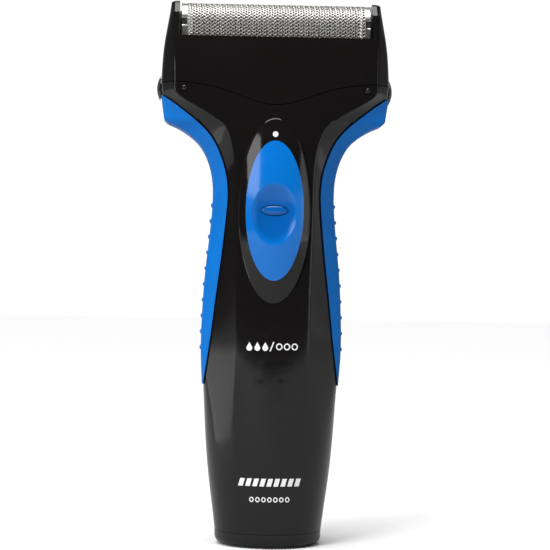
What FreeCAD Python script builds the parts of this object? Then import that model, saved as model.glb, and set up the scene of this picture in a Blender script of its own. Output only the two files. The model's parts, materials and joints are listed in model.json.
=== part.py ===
import FreeCAD, Part

import math
import os
import re
from collections import namedtuple

import Sketcher

Vector = FreeCAD.Vector

# Electric foil shaver, millimetres. +Z runs up the handle from the flat base, the front
# (switch side) faces -Y, +X is to the right seen from the front. The origin is the middle
# of the flat base.

SIZES = {
    # whole body
    "overall_height": 157.6,
    "half_width": 32.95,
    "base_radius": 15.5,
    "cap_height": 4.2,
    "rim_height": 147.0,
    "shoulder_height": 122.7,
    "wall": 2.4,
    "grip_proud": 0.4,
    "shoulder_rounding": 1.25,
    "wall_start": 16.0,
    "grip_depth": 1.2,
    "part_gap": 0.15,
    "rib_radius": 0.7,
    "rib_half_length": 4.0,
    "rib_start": 57.0,
    "rib_pitch": 4.59,
    "rib_count": 10,
    "pin_reach": 26.3,
    "pin_height": 131.4,
    "pin_seat": 13.05,
    "pin_radius": 0.8,
    "pin_stem_radius": 0.56,
    "dimple_radius": 1.75,
    "dimple_centre": 14.15,
    # battery compartment
    "mouth_radius": 14.5,
    "mouth_top": 10.2,
    "cell_radius": 7.05,
    "cell_offset": 7.15,
    "cell_bottom": 15.5,
    "cell_top": 66.0,
    "nub_radius": 2.75,
    "nub_height": 1.3,
    # battery cap
    "foot_radius": 12.5,
    "foot_rounding": 2.6,
    "spigot_radius": 14.3,
    "spigot_top": 9.6,
    "spigot_bore": 12.6,
    "cap_floor": 1.8,
    "groove_radius": 13.4,
    "groove_bottom": 6.25,
    "groove_height": 1.5,
    "seal_wire": 0.52,
    "carrier_height": 1.0,
    "contact_thickness": 0.35,
    # motor
    "motor_radius": 12.0,
    "motor_flat": 9.2,
    "motor_wall": 0.8,
    "motor_bottom": 75.0,
    "motor_top": 104.0,
    "motor_boss_radius": 3.0,
    "motor_boss_top": 105.8,
    "end_cap_bottom": 72.6,
    "bush_radius": 2.4,
    "shaft_radius": 1.0,
    "shaft_bottom": 71.5,
    "shaft_top": 112.0,
    "rotor_radius": 8.2,
    "rotor_bottom": 80.0,
    "rotor_height": 17.0,
    "magnet_radius": 9.0,
    # drive
    "cam_radius": 3.4,
    "cam_bottom": 109.0,
    "cam_height": 3.4,
    "eccentricity": 1.2,
    "crank_pin_radius": 0.8,
    "crank_pin_height": 4.4,
    "bridge_bottom": 114.2,
    "bridge_length": 28.0,
    "bridge_width": 10.8,
    "bridge_height": 7.4,
    "rail_radius": 1.0,
    "rail_height": 118.6,
    "rail_offset": 4.0,
    "post_radius": 1.5,
    "post_top": 143.2,
    # screws
    "screw_radius": 0.97,
    "screw_head_radius": 1.9,
    "screw_head_height": 1.2,
    "screw_reach": 22.5,
    "screw_spread": 5.5,
    "screw_boss_radius": 2.4,
    "screw_boss_bottom": 112.0,
    "motor_screw_reach": 7.5,
    # chassis and contacts
    "deck_bottom": 68.8,
    "deck_thickness": 1.2,
    "top_deck_bottom": 106.0,
    "top_deck_thickness": 1.4,
    "board_face": 10.0,
    "board_bottom": 88.0,
    "contact_bottom": 90.0,
    "contact_offset": 2.3,
    "strip_width": 2.2,
    "strip_thickness": 0.4,
    "blade_strip": 0.35,
    "lead_height": 71.0,
    # head
    "platform_bottom": 127.0,
    "platform_top": 129.0,
    "collar_top": 137.0,
    "collar_half_length": 27.6,
    "collar_half_depth": 8.9,
    "collar_wall": 1.2,
    "frame_wall": 2.0,
    "seam_gap": 0.2,
    "post_inner_face": 28.0,
    "post_foot": 141.5,
    "lug_face": 17.4,
    "lug_thickness": 1.8,
    "lug_bottom": 117.2,
    # foil and cutter
    "foil_radius": 6.2,
    "foil_thickness": 0.15,
    "foil_centre": 151.0,
    "foil_bottom": 143.6,
    "foil_half_length": 27.4,
    "foil_margin": 1.6,
    "blade_radius": 5.9,
    "blade_core_radius": 4.15,
    "blade_thickness": 0.25,
    "blade_pitch": 1.8,
    "blade_count": 27,
    "beam_bottom": 141.5,
    "holder_foot": 143.2,
    "holder_rail_height": 3.4,
    "holder_half_depth": 6.75,
    "holder_plate": 0.5,
    "holder_plate_half": 5.3,
    "holder_plate_top": 154.4,
    # release buttons
    "button_height": 132.1,
    "button_radius": 3.7,
    "button_reach": 34.35,
    "button_stem_radius": 2.9,
    "button_slack": 0.35,
    "button_seat": 31.9,
    "button_rim": 33.3,
    "button_inner_face": 30.4,
    "button_shaft_radius": 1.2,
    "button_shaft_end": 25.6,
    "latch_face": 29.9,
    "release_coil_radius": 1.75,
    "release_wire": 0.4,
    "release_spring_end": 29.8,
    # switch
    "switch_height": 96.6,
    "bezel_half_width": 10.35,
    "bezel_half_length": 26.6,
    "bezel_proud": 1.1,
    "bezel_end_proud": 0.35,
    "bezel_rounding": 0.5,
    "bezel_depth": 0.8,
    "seal_depth": 0.5,
    "seal_margin": 1.6,
    "boss_slack": 0.3,
    "knob_half_width": 8.25,
    "knob_half_length": 19.95,
    "knob_proud": 2.5,
    "knob_end_proud": 1.55,
    "boss_half_width": 4.2,
    "boss_half_length": 7.0,
    "switch_travel": 3.5,
    "dish_half_width": 7.4,
    "dish_half_length": 9.9,
    "dish_dip": 1.4,
    "lens_half_length": 3.75,
    "lens_half_height": 1.3,
    "lens_gap": 0.25,
    "lens_crown": 0.45,
}

doc = FreeCAD.newDocument("electric_shaver")
sheet = doc.addObject("Spreadsheet::Sheet", "Sizes")
for line, (alias, value) in enumerate(SIZES.items(), start=1):
    sheet.set(f"A{line}", alias)
    sheet.set(f"B{line}", str(value))
    sheet.setAlias(f"B{line}", alias)
doc.recompute()


def bind(text):
    """An expression in sheet aliases, written as FreeCAD wants it."""
    return re.sub(r"[a-z_]{3,}", lambda word: "Sizes." + word.group(0), str(text))


def size(text):
    """The present value of an expression in sheet aliases."""
    return float(sheet.evalExpression(str(text)))


# ---------------------------------------------------------------- primitives and booleans


def placed(item, x, y, z):
    """Bind an object's position to the sheet."""
    for axis, text in zip("xyz", (x, y, z)):
        item.setExpression("Placement.Base." + axis, bind(text))
    return item


# Written before an alias, these give the two sides of a symmetrical pair.
SIDES = ("-", "")

AXIS_TURNS = {
    "Z": FreeCAD.Rotation(),
    "X": FreeCAD.Rotation(Vector(0, 1, 0), 90),
    "Y": FreeCAD.Rotation(Vector(1, 0, 0), -90),
}


def slab(name, width, depth, height, z, x="0", y="0"):
    """A box centred on x and y, standing on z."""
    item = doc.addObject("Part::Box", name)
    for prop, text in (("Length", width), ("Width", depth), ("Height", height)):
        item.setExpression(prop, bind(text))
    return placed(item, f"{x} - ({width}) / 2", f"{y} - ({depth}) / 2", z)


def rod(name, radius, length, x="0", y="0", z="0", axis="Z"):
    """A cylinder from a point along an axis."""
    item = doc.addObject("Part::Cylinder", name)
    item.setExpression("Radius", bind(radius))
    item.setExpression("Height", bind(length))
    item.Placement = FreeCAD.Placement(Vector(), AXIS_TURNS[axis])
    return placed(item, x, y, z)


def cut(name, base, *tools):
    """The base with the tools taken away."""
    item = doc.addObject("Part::Cut", name)
    item.Base = base
    item.Tool = tools[0] if len(tools) == 1 else fused(name + "_tools", *tools)
    return item


def fused(name, *pieces):
    """One solid out of several touching ones."""
    item = doc.addObject("Part::MultiFuse", name)
    item.Shapes = list(pieces)
    return item


def shared(name, *pieces):
    """What several solids have in common."""
    item = doc.addObject("Part::MultiCommon", name)
    item.Shapes = list(pieces)
    return item


def feature(name, shape):
    """A document object that holds a finished shape."""
    item = doc.addObject("Part::Feature", name)
    item.Shape = shape
    return item


def copies(name, source, offsets):
    """Equal separate solids in one node, one at each offset."""
    doc.recompute()
    return feature(name, Part.makeCompound([source.Shape.translated(Vector(*at)) for at in offsets]))


def grouped(name, *pieces):
    """Different separate solids in one node."""
    item = doc.addObject("Part::Compound", name)
    item.Links = list(pieces)
    return item


def coil(name, radius, wire, turns, length, x, y, z, axis="Z"):
    """A coil spring that starts at a point and runs along an axis."""
    helix = doc.addObject("Part::Helix", name + "_helix")
    helix.Radius = size(radius)
    helix.Height = size(length) - size(wire)
    helix.Pitch = helix.Height / turns
    ring = doc.addObject("Part::Circle", name + "_wire")
    ring.Radius = size(wire) / 2
    ring.Placement = FreeCAD.Placement(Vector(size(radius), 0, 0), FreeCAD.Rotation(Vector(1, 0, 0), 90))
    spring = doc.addObject("Part::Sweep", name)
    spring.Sections = [ring]
    spring.Spine = (helix, [])
    spring.Solid = True
    spring.Frenet = True
    turn = AXIS_TURNS[axis]
    start = Vector(size(x), size(y), size(z)) + turn.multVec(Vector(0, 0, size(wire) / 2))
    spring.Placement = FreeCAD.Placement(start, turn)
    return spring


# ---------------------------------------------------------------- sketched bodies


def origin_plane(body, role):
    """One of a body's own origin planes."""
    return next(plane for plane in body.Origin.OriginFeatures if plane.Role == role)


def corner_constraint(sketch, index, direction, text):
    """Hold one corner of a profile at a bound distance from the origin."""
    value = size(text)
    if abs(value) < 1e-9:
        sketch.addConstraint(Sketcher.Constraint("PointOnObject", index, 1, -2 if direction == "X" else -1))
        return
    ends = (-1, 1, index, 1) if value > 0 else (index, 1, -1, 1)
    number = sketch.addConstraint(Sketcher.Constraint("Distance" + direction, *ends, abs(value)))
    sketch.setExpression(f"Constraints[{number}]", bind(text if value > 0 else f"-({text})"))


def profile(body, name, plane, corners):
    """A closed, straight-sided, fully bound sketch."""
    sketch = body.newObject("Sketcher::SketchObject", name)
    sketch.AttachmentSupport = [(origin_plane(body, plane), "")]
    sketch.MapMode = "FlatFace"
    points = [Vector(size(x), size(y), 0) for x, y in corners]
    count = len(points)
    for i in range(count):
        sketch.addGeometry(Part.LineSegment(points[i], points[(i + 1) % count]))
    for i in range(count):
        sketch.addConstraint(Sketcher.Constraint("Coincident", i, 2, (i + 1) % count, 1))
    for i, (x, y) in enumerate(corners):
        corner_constraint(sketch, i, "X", x)
        corner_constraint(sketch, i, "Y", y)
    return sketch


def turned(name, corners, x="0", y="0", z="0", axis="Z"):
    """A turned piece: corners are radius and height above the starting point."""
    body = doc.addObject("PartDesign::Body", name)
    sketch = profile(body, name + "_profile", "XZ_Plane", corners)
    doc.recompute()
    spin = body.newObject("PartDesign::Revolution", name + "_turned")
    spin.Profile = sketch
    spin.ReferenceAxis = (sketch, ["V_Axis"])
    spin.Angle = 360
    body.Tip = spin
    body.Placement = FreeCAD.Placement(Vector(), AXIS_TURNS[axis])
    return placed(body, x, y, z)


def rounded(body, radius, wanted):
    """Round the edges of a body that a test picks out."""
    doc.recompute()
    tip = body.Tip
    edges = [f"Edge{i}" for i, edge in enumerate(tip.Shape.Edges, start=1) if wanted(edge)]
    fillet = body.newObject("PartDesign::Fillet", body.Name + "_rounding")
    fillet.Base = (tip, edges)
    fillet.setExpression("Radius", bind(radius))
    body.Tip = fillet
    return body


# ---------------------------------------------------------------- the moulded outer form

# One level of the outer form: its height, half width, front and rear depth, the crease that
# bounds the flat front panel, how far the panel falls from its middle to that crease, the
# half depth of the flat flank, and how faceted the section is (0 round, 1 fully faceted).
Level = namedtuple("Level", "height half front rear crease crown flank facet")

POLES_PER_QUARTER = 8
CREASE_ROUNDING = 0.7
FLANK_ROUNDING = 1.6
CHAMFER_SHIFT = 0.41


def handle_levels():
    """The handle: round at the base, a waist below the head, then the flare."""
    base = size("base_radius")
    top = size("shoulder_height")
    return [
        Level(size("cap_height"), base, base, base, 10.0, 1.5, 5.0, 0.0),
        Level(11.3, 16.45, 15.9, 15.95, 10.2, 1.5, 5.0, 0.0),
        Level(20.6, 17.65, 16.15, 16.3, 10.3, 1.5, 5.0, 0.0),
        Level(32.0, 18.65, 16.3, 16.6, 10.3, 1.5, 5.0, 0.05),
        Level(44.0, 19.35, 16.4, 16.85, 10.3, 1.45, 5.2, 0.5),
        Level(52.0, 19.8, 16.45, 17.0, 10.3, 1.4, 5.4, 0.88),
        Level(59.0, 19.95, 16.4, 17.0, 10.4, 1.35, 5.5, 1.0),
        Level(67.0, 19.75, 16.3, 16.95, 10.5, 1.3, 5.5, 1.0),
        Level(77.0, 19.2, 16.05, 16.8, 10.7, 1.2, 5.5, 1.0),
        Level(88.0, 18.1, 15.75, 16.5, 11.0, 1.1, 5.5, 1.0),
        Level(98.0, 17.25, 15.4, 16.1, 11.2, 1.0, 5.5, 1.0),
        Level(104.0, 17.25, 15.15, 15.75, 11.3, 0.9, 5.5, 1.0),
        Level(109.6, 18.2, 14.9, 15.35, 11.5, 0.8, 5.5, 1.0),
        Level(113.5, 19.75, 14.7, 15.1, 12.0, 0.7, 5.5, 1.0),
        Level(116.6, 21.85, 14.5, 14.9, 12.7, 0.6, 5.6, 1.0),
        Level(118.9, 24.45, 14.3, 14.7, 13.5, 0.5, 5.7, 1.0),
        Level(120.8, 27.4, 14.1, 14.5, 14.6, 0.4, 5.8, 1.0),
        Level(top, 31.6, 13.9, 14.3, 17.2, 0.3, 6.0, 1.0),
    ]


def head_levels():
    """The head above the sharp shoulder, up to the rim that the foil stands in."""
    widest = size("half_width")
    return [
        handle_levels()[-1],
        Level(125.0, 31.95, 13.7, 14.05, 20.8, 0.25, 6.0, 1.0),
        Level(127.5, 32.3, 13.45, 13.7, 25.2, 0.22, 6.0, 1.0),
        Level(130.0, 32.6, 13.15, 13.35, 28.6, 0.2, 6.0, 1.0),
        Level(133.0, widest, 12.6, 12.8, 29.15, 0.2, 6.0, 1.0),
        Level(137.0, 32.9, 11.75, 11.9, 29.25, 0.2, 5.8, 1.0),
        Level(142.0, 32.6, 10.45, 10.6, 29.4, 0.2, 5.4, 1.0),
        Level(size("rim_height"), 32.0, 8.8, 8.8, 29.5, 0.2, 5.0, 1.0),
    ]


def post_bands():
    """The two end posts above the rim: a leaning face, a bright bevel and a blunt top."""
    rim = head_levels()[-1]
    bevel = Level(154.0, 30.85, 6.0, 6.0, 29.5, 0.1, 3.8, 1.0)
    brow = Level(156.8, 30.5, 3.7, 3.7, 29.4, 0.05, 2.4, 1.0)
    temple = Level(157.35, 30.2, 3.1, 3.1, 29.1, 0.05, 2.1, 1.0)
    crown = Level(size("overall_height"), 29.7, 2.5, 2.5, 28.7, 0.05, 1.7, 1.0)
    return [[rim, bevel], [bevel, brow], [brow, temple, crown]]


def toward(start, goal, reach):
    """The point at a given distance from a start towards a goal."""
    run = math.hypot(goal[0] - start[0], goal[1] - start[1])
    return (start[0] + reach * (goal[0] - start[0]) / run, start[1] + reach * (goal[1] - start[1]) / run)


def quarter(level, depth):
    """Poles of a quarter section, from the middle of the face to the middle of the flank."""
    step = math.radians(90.0 / POLES_PER_QUARTER)
    swell = 3.0 / (2.0 + math.cos(step))
    bows = [(swell * math.sin(step * i), swell * math.cos(step * i)) for i in range(POLES_PER_QUARTER + 1)]
    crease = (level.crease, depth - level.crown)
    corner = (level.half, level.flank)
    panel = (level.crease / 2, depth - level.crown / 4)
    facets = [
        (0.0, depth),
        panel,
        toward(crease, panel, CREASE_ROUNDING),
        crease,
        toward(crease, corner, CREASE_ROUNDING),
        toward(corner, crease, min(FLANK_ROUNDING, level.flank / 2)),
        corner,
        (level.half, level.flank - min(FLANK_ROUNDING, level.flank / 2)),
        (level.half, 0.0),
    ]
    keep = 1.0 - level.facet
    return [
        (keep * level.half * bow[0] + level.facet * flat[0], keep * depth * bow[1] + level.facet * flat[1])
        for bow, flat in zip(bows, facets)
    ]


def section(level):
    """All poles of a section, once round from the middle of the front."""
    front = quarter(level, level.front)
    rear = quarter(level, level.rear)
    ring = [(x, -y) for x, y in front]
    ring += [(x, y) for x, y in reversed(rear[:-1])]
    ring += [(-x, y) for x, y in rear[1:-1]]
    ring += [(-x, -y) for x, y in reversed(front[1:])]
    return [Vector(x, y, level.height) for x, y in ring]


def skin(levels):
    """The smooth face through the levels of one band."""
    rings = [section(level) for level in levels]
    span = levels[-1].height - levels[0].height
    steps = [(level.height - levels[0].height) / span for level in levels]
    columns = []
    for points in zip(*rings):
        column = Part.BSplineCurve()
        column.interpolate(Points=list(points), Parameters=steps)
        columns.append(column)
    around = len(columns)
    surface = Part.BSplineSurface()
    surface.buildFromPolesMultsKnots(
        [column.getPoles() for column in columns],
        [1] * (around + 1),
        columns[0].getMultiplicities(),
        list(range(around + 1)),
        columns[0].getKnots(),
        True,
        False,
        3,
        columns[0].Degree,
    )
    return surface.toShape()


def end_face(face, height):
    """The flat face that closes a skin at one of its ends."""
    for edge in face.Edges:
        if abs(edge.BoundBox.ZMin - height) < 1e-6 and abs(edge.BoundBox.ZMax - height) < 1e-6:
            return Part.Face(Part.Wire([edge]))
    raise ValueError(f"no edge at {height}")


def form(bands):
    """A closed solid out of bands of levels that follow on from each other."""
    faces = [skin(levels) for levels in bands]
    bottom = end_face(faces[0], bands[0][0].height)
    top = end_face(faces[-1], bands[-1][-1].height)
    shell = Part.makeShell([bottom, *faces, top])
    shell.sewShape()
    return Part.makeSolid(Part.Shell(shell.Faces))


def unit(slope):
    """The outward normal of an outline with this slope of half width over height."""
    length = math.hypot(1.0, slope)
    return (1.0 / length, -slope / length)


def slope(low, high):
    return (high.half - low.half) / (high.height - low.height)


def moved(level, normal, reach):
    """A level pushed out along a normal, or in where the reach is negative."""
    return level._replace(
        height=level.height + reach * normal[1],
        half=level.half + reach * normal[0],
        front=level.front + reach,
        rear=level.rear + reach,
        crease=level.crease + CHAMFER_SHIFT * reach,
        flank=level.flank + CHAMFER_SHIFT * reach,
    )


def offset_levels(lower, upper, reach):
    """Both bands pushed out by a reach, given as a function of height, mitred where they meet."""
    low_end = unit(slope(lower[-2], lower[-1]))
    high_end = unit(slope(upper[0], upper[1]))
    blend = (low_end[0] + high_end[0], low_end[1] + high_end[1])
    length = math.hypot(*blend)
    mitre = (blend[0] / length, blend[1] / length)
    stretch = mitre[0] * low_end[0] + mitre[1] * low_end[1]
    shoulder = moved(lower[-1], mitre, reach(lower[-1].height) / stretch)
    pushed = []
    for levels in (lower, upper):
        band = [moved(levels[0], (1.0, 0.0), reach(levels[0].height))]
        for before, level, after in zip(levels, levels[1:], levels[2:]):
            band.append(moved(level, unit(slope(before, after)), reach(level.height)))
        band.append(moved(levels[-1], (1.0, 0.0), reach(levels[-1].height)))
        pushed.append(band)
    pushed[0][-1] = shoulder
    pushed[1][0] = shoulder
    return pushed


def shaped_form(reach):
    """The form pushed out by a reach that changes with height."""
    return form(offset_levels(handle_levels(), head_levels(), reach))


def offset_form(reach):
    """The form pushed out by a fixed reach."""
    return shaped_form(lambda height: reach)


def between(first, second, part):
    """A level part of the way from one level to another."""
    return Level(*(a + part * (b - a) for a, b in zip(first, second)))


def level_at(first, second, distance):
    """A level at a distance from one level towards another, measured in the outline."""
    run = math.hypot(second.half - first.half, second.height - first.height)
    return between(first, second, distance / run)


def soft_form(reach):
    """The form pushed out by a fixed reach, its sharp shoulder rounded."""
    lower, upper = offset_levels(handle_levels(), head_levels(), lambda height: reach)
    corner = lower[-1]
    below = level_at(corner, lower[-2], size("shoulder_rounding"))
    above = level_at(corner, upper[1], size("shoulder_rounding"))
    middle = between(between(below, above, 0.5), corner, 0.5)
    return form([[*lower[:-1], below], [below, middle, above], [above, *upper[1:]]])


# ---------------------------------------------------------------- outlines that cut the form

HIGH = 200.0
DEEP = 60.0
BEYOND = 40.0
BOSS_SEAT = 11.0
SWITCH_FRONT = 15.45
BOWL_DEPTH = 4.0


def side_prism(outline):
    """A closed outline in x and z, taken right through from front to back."""
    return Part.Face(Part.Wire(outline)).extrude(Vector(0, DEEP, 0))


def seam_curve(lift):
    """The smile-shaped line between head and foil frame, across the whole width."""
    right = [(7.0, 128.25), (13.8, 130.7), (20.5, 132.4), (28.0, 133.15), (40.0, 133.4)]
    points = [(-x, z) for x, z in reversed(right)] + [(0.0, 126.9)] + right
    curve = Part.BSplineCurve()
    curve.interpolate(Points=[Vector(x, -DEEP / 2, z + lift) for x, z in points])
    return curve


def below_seam(lift):
    """Everything under the seam line."""
    curve = seam_curve(lift)
    start = curve.value(curve.FirstParameter)
    end = curve.value(curve.LastParameter)
    low_end = Vector(end.x, end.y, -10)
    low_start = Vector(start.x, start.y, -10)
    corners = [end, low_end, low_start, start]
    lines = [Part.makeLine(a, b) for a, b in zip(corners, corners[1:])]
    return side_prism([curve.toShape(), *lines])


def grip_prism(side):
    """The region of one grip seen from the front; side is -1 for left and +1 for right."""
    edge = [
        (33.6, 130.2),
        (31.0, 128.5),
        (27.0, 125.6),
        (23.6, 122.9),
        (20.5, 120.2),
        (17.8, 116.9),
        (15.6, 112.4),
        (14.1, 107.6),
        (13.4, 101.8),
        (13.8, 94.4),
        (15.0, 82.7),
        (16.45, 71.0),
        (17.8, 59.3),
        (19.05, 50.4),
        (19.6, 46.3),
    ]
    curve = Part.BSplineCurve()
    curve.interpolate(Points=[Vector(side * x, -DEEP / 2, z) for x, z in edge])
    top = curve.value(curve.FirstParameter)
    bottom = curve.value(curve.LastParameter)
    far = side * 45.0
    corners = [bottom, Vector(far, bottom.y, bottom.z), Vector(far, top.y, top.z), top]
    lines = [Part.makeLine(a, b) for a, b in zip(corners, corners[1:])]
    return side_prism([curve.toShape(), *lines])


def front_oval(half_width, half_height, height, depth, reach=DEEP / 2):
    """An oval column that runs forwards from a depth to a reach, its centre at a height."""
    middle = Vector(0, -depth, height)
    ends = [middle + Vector(half_width, 0, 0), middle + Vector(0, 0, half_height)]
    if half_height > half_width:
        ends.reverse()
    outline = Part.Ellipse(ends[0], ends[1], middle).toShape()
    return Part.Face(Part.Wire([outline])).extrude(Vector(0, depth - reach, 0))


def front_slot(half_width, low, high, depth):
    """A round-ended slot column that runs forwards from a depth, between two heights."""
    reach = DEEP / 2 - depth
    foot = low + half_width
    head = high - half_width
    straight = Part.makeBox(2 * half_width, reach, head - foot, Vector(-half_width, -DEEP / 2, foot))
    ends = [
        Part.makeCylinder(half_width, reach, Vector(0, -DEEP / 2, height), Vector(0, 1, 0))
        for height in (foot, head)
    ]
    return straight.fuse(ends)


def half_space(side):
    """All that lies in front (-1) or behind (+1) the parting plane of the case."""
    return Part.makeBox(2 * DEEP, DEEP, HIGH + 20, Vector(-DEEP, 0 if side > 0 else -DEEP, -10))


# ---------------------------------------------------------------- case, grips, bezel


def cavity():
    """The hollow inside the case: thin walls round the cells, thicker ones above."""
    thinnest = size("base_radius - mouth_radius") + 0.35
    growth = 0.035

    def inward(height):
        return -min(size("wall"), thinnest + growth * max(0.0, height - size("wall_start")))

    lower = [level for level in handle_levels() if level.height > size("mouth_top")]
    lower[0] = lower[0]._replace(height=size("mouth_top") - 0.2)
    hollow = form(offset_levels(lower, head_levels(), inward))
    mouth = Part.makeCylinder(size("mouth_radius"), size("mouth_top"))
    return hollow.fuse(mouth)


def button_cuts(side):
    """The recess and hole that a release button moves in, through case and foil frame."""
    axis = Vector(side, 0, 0)
    height = size("button_height")
    seat = Vector(side * size("button_seat"), 0, height)
    start = Vector(side * size("button_shaft_end + 0.4"), 0, height)
    recess = Part.makeCylinder(size("button_radius + button_slack"), 10, seat, axis)
    hole = Part.makeCylinder(size("button_stem_radius") + 0.2, 12, start, axis)
    return recess.fuse(hole)


def pin_places():
    """Centres of the two small round pins on the front, just under the seam."""
    return [(side * size("pin_reach"), size("pin_height")) for side in (-1, 1)]


def screw_places():
    """Where the four head screws go, in x and y."""
    reach = size("screw_reach")
    spread = size("screw_spread")
    return [(x, y) for x in (-reach, reach) for y in (-spread, spread)]


def screw_boss(x, y):
    """The boss that a head screw bites into, still without its bore."""
    bottom = size("screw_boss_bottom")
    rise = size("platform_bottom") - bottom
    return Part.makeCylinder(size("screw_boss_radius"), rise, Vector(x, y, bottom))


def screw_bore(x, y):
    """The hole for a head screw in its boss."""
    depth = 8.0
    return Part.makeCylinder(1.0, depth + 1.0, Vector(x, y, size("platform_bottom") - depth))


def pin_dimple(x, z):
    """The shallow dimple and the hole that a front pin sits in."""
    dimple = Part.makeSphere(size("dimple_radius"), Vector(x, -size("dimple_centre"), z))
    start = Vector(x, -size("pin_seat") - 0.15, z)
    return dimple.fuse(Part.makeCylinder(size("pin_stem_radius") + 0.02, 3.2, start, Vector(0, 1, 0)))


def case_half(side, outer, hollow, holes):
    """One half of the case, its screw bosses joined on."""
    half = outer.common(half_space(side)).cut(hollow)
    inner = offset_form(-size("grip_depth + part_gap"))
    for x, y in screw_places():
        if y * side > 0:
            half = half.fuse(screw_boss(x, y).common(inner))
    return half.cut(holes).removeSplitter()


def barrel(middle_reach, end_reach, half_length):
    """A reach that is greatest at the switch and falls off evenly to both ends of a length."""
    centre = size("switch_height")

    def reach(height):
        away = (height - centre) / half_length
        return end_reach + (middle_reach - end_reach) * max(0.0, 1.0 - away * away)

    return reach


def bezel_face():
    """How far the bezel stands out from the case, as a function of height."""
    return barrel(size("bezel_proud"), size("bezel_end_proud"), size("bezel_half_length"))


def build_case():
    """Front and rear case, grips, bezel and the seal under it."""
    plain = offset_form(0.0)
    proud = soft_form(size("grip_proud"))
    under_grip = offset_form(-size("grip_depth"))
    kept = below_seam(0.0)
    grips = {"left_grip": -1, "right_grip": 1}
    prisms = {name: grip_prism(side) for name, side in grips.items()}

    outer = plain.common(kept)
    for name, side in grips.items():
        region = prisms[name]
        outer = outer.cut(region).fuse(outer.common(under_grip).common(region))
        pad = proud.common(kept).common(region).cut(under_grip).cut(button_cuts(side))
        feature(name, fuse_ribs(pad, side))

    oval = front_oval(size("bezel_half_width"), size("bezel_half_length"), size("switch_height"), 0.0)
    middle = size("switch_height")
    low = middle - size("boss_half_length + boss_slack")
    high = middle + size("boss_half_length + switch_travel + boss_slack")
    window_half = size("boss_half_width + boss_slack")
    margin = size("seal_margin")
    window = front_slot(window_half, low, high, BOSS_SEAT)
    ring = front_slot(window_half + margin, low - margin, high + margin, 0.0)
    depth = size("bezel_depth")
    bezel_floor = offset_form(-depth)
    seal_floor = offset_form(-depth - size("seal_depth"))
    bezel = shaped_form(bezel_face()).common(oval)
    rim = [edge for edge in bezel.Edges if edge.BoundBox.YMax < -size("bezel_half_width")]
    bezel = bezel.makeFillet(size("bezel_rounding"), rim).cut(bezel_floor).cut(window)
    feature("switch_bezel", bezel.common(half_space(-1)))
    seal = bezel_floor.common(ring).cut(seal_floor).cut(window)
    feature("switch_seal", seal.common(half_space(-1)))

    front_outer = outer.cut(oval.cut(bezel_floor)).cut(ring.cut(seal_floor)).cut(window)
    hollow = cavity()
    holes = [button_cuts(side) for side in (-1, 1)]
    holes += [screw_bore(x, y) for x, y in screw_places()]
    holes += [pin_dimple(x, z) for x, z in pin_places()]
    cutter = holes[0].fuse(holes[1:])
    feature("front_case", case_half(-1, front_outer, hollow, cutter))
    feature("rear_case", case_half(1, outer, hollow, cutter))


def flank_reach(height):
    """Half width of the plain form at a height, on the handle."""
    levels = handle_levels()
    for low, high in zip(levels, levels[1:]):
        if low.height <= height <= high.height:
            part = (height - low.height) / (high.height - low.height)
            return low.half + part * (high.half - low.half)
    raise ValueError(f"{height} is off the handle")


def fuse_ribs(pad, side):
    """Join the small round-ended ribs to the flank of a grip."""
    radius = size("rib_radius")
    half_length = size("rib_half_length")
    for i in range(int(size("rib_count"))):
        height = size("rib_start") + size("rib_pitch") * i
        x = side * (flank_reach(height) + size("grip_proud") - 0.3)
        bar = Part.makeCylinder(radius, 2 * half_length, Vector(x, -half_length, height), Vector(0, 1, 0))
        balls = [Part.makeSphere(radius, Vector(x, y, height)) for y in (-half_length, half_length)]
        pad = pad.fuse(bar.fuse(balls))
    return pad


def build_fixing_pins():
    """Two small domed pins in dimples under the seam."""
    radius = size("pin_radius")
    seat = size("pin_seat")
    inwards = Vector(0, 1, 0)
    pins = []
    for x, z in pin_places():
        centre = Vector(x, -seat, z)
        stem = Part.makeCylinder(size("pin_stem_radius"), 2.4, centre, inwards)
        head = Part.makeCylinder(radius, 0.42, centre, inwards)
        front = Part.makeCylinder(radius, 2.0, centre, -inwards)
        dome = Part.makeSphere(0.95, Vector(x, 0.65 - seat, z)).common(front)
        pins.append(stem.fuse([head, dome]))
    feature("fixing_pins", Part.makeCompound(pins))


# ---------------------------------------------------------------- foil frame


def build_foil_frame():
    """The lift-off frame: a hollow shell with two end posts that hold the foil holder."""
    plain = form([handle_levels(), head_levels(), *post_bands()])
    whole = plain.cut(below_seam(size("seam_gap")))
    bands = offset_levels(handle_levels(), head_levels(), lambda height: -size("frame_wall"))
    rim = bands[1][-1]
    bands.append([rim, rim._replace(height=rim.height + 1.0)])
    hollow = form(bands)
    inner = size("post_inner_face")
    middle = Part.makeBox(2 * inner, DEEP, BEYOND, Vector(-inner, -DEEP / 2, size("rim_height")))
    width = 6.0
    blocks = []
    for side in (-1, 1):
        corner = Vector(inner if side > 0 else -inner - width, -width, size("post_foot"))
        blocks.append(Part.makeBox(width, 2 * width, BEYOND, corner).common(plain))
    frame = whole.cut(hollow).cut(middle).fuse(blocks)
    for side in (-1, 1):
        frame = frame.cut(button_cuts(side))
    feature("foil_frame", frame)


def arch(radius, inner_radius, bottom, x_start, length):
    """An upside-down U along X: half ring on top of two straight legs."""
    centre = size("foil_centre")
    rise = centre - bottom
    along = Vector(1, 0, 0)
    outer = Part.makeCylinder(radius, length, Vector(x_start, 0, centre), along)
    outer = outer.fuse(Part.makeBox(length, 2 * radius, rise, Vector(x_start, -radius, bottom)))
    bore = Part.makeCylinder(inner_radius, length, Vector(x_start, 0, centre), along)
    gap = Part.makeBox(length, 2 * inner_radius, rise + 1, Vector(x_start, -inner_radius, bottom - 1))
    above = Part.makeBox(length, 4 * radius, BEYOND, Vector(x_start, -2 * radius, bottom))
    return outer.common(above).cut(bore.fuse(gap)).removeSplitter()


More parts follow.
